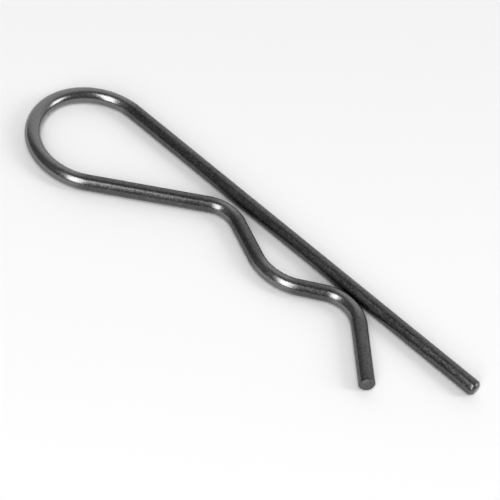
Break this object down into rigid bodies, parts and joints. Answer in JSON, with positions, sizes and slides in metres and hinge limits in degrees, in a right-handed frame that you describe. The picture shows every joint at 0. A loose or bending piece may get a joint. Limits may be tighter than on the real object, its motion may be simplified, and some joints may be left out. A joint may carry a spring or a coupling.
{
  "type": "hitch pin R-clip",
  "caption": "Hitch pin R-clip bent from round dark spring-steel wire, with a head loop, a straight leg and a humped spring leg that ends in a flared tip.",
  "frame": {"origin": "where the axis of the hitch pin that the hump goes around crosses the axis of the straight leg", "axes": "+X along the straight leg to its cut end; +Y from the spring leg to the straight leg; +Z square to the flat of the clip, along the axis of the hitch pin"},
  "size_m": [0.1279, 0.0339, 0.004],
  "materials": {
    "spring_steel": "satin"
  },
  "bodies": {
    "root": {"spring_wire": "spring_steel"}
  },
  "joints": []
}
